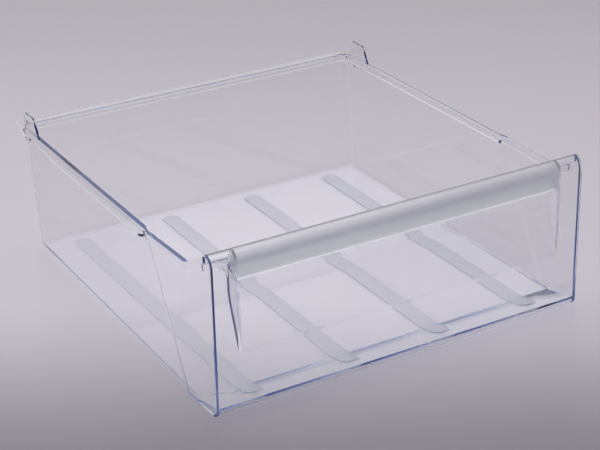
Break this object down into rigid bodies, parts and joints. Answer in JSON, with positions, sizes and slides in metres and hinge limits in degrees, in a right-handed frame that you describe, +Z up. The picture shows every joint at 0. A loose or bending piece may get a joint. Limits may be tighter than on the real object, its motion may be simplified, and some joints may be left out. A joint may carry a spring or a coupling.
{
  "type": "freezer drawer",
  "caption": "Clear plastic freezer drawer with a tall front panel, recessed finger grip, rolled top edge, side slide rails, rear stop fins and a ribbed floor.",
  "frame": {"origin": "centre of the drawer's footprint, on the surface that it stands on", "axes": "+X to the drawer's right seen from the front, +Y from the front panel to the back, +Z up"},
  "size_m": [0.4732, 0.514, 0.183],
  "materials": {
    "clear_polystyrene": "clear injection-moulded polystyrene, polished, with faint blue edges"
  },
  "bodies": {
    "root": {"drawer": "clear_polystyrene"}
  },
  "joints": []
}
